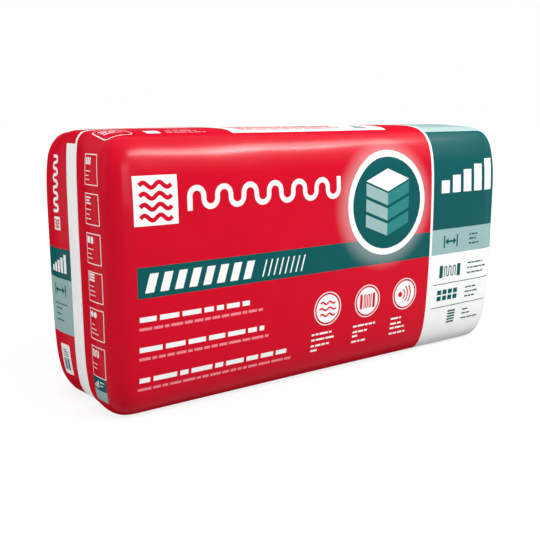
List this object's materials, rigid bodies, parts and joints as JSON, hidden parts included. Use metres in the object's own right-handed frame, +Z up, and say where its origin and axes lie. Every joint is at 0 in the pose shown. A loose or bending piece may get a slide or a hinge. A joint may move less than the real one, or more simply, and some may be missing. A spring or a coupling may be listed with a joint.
{
  "type": "bag of mineral wool insulation batts",
  "caption": "Sealed plastic film bag of compressed mineral wool insulation batts, standing on its long edge, with rounded pillow-like faces and a lapped seam down each end.",
  "frame": {"origin": "on the floor under the middle of the bag", "axes": "+X along the length, +Y from the front face to the back face, +Z up"},
  "size_m": [1.1916, 0.378, 0.604],
  "materials": {
    "film": "glossy printed polyethylene film, drawn tight over the batts",
    "wool": "matt, fibrous stone wool in fine crimped layers"
  },
  "bodies": {
    "root": {"film_front": "film", "film_back": "film", "batt_1": "wool", "batt_2": "wool", "batt_3": "wool", "batt_4": "wool", "batt_5": "wool"}
  },
  "joints": []
}
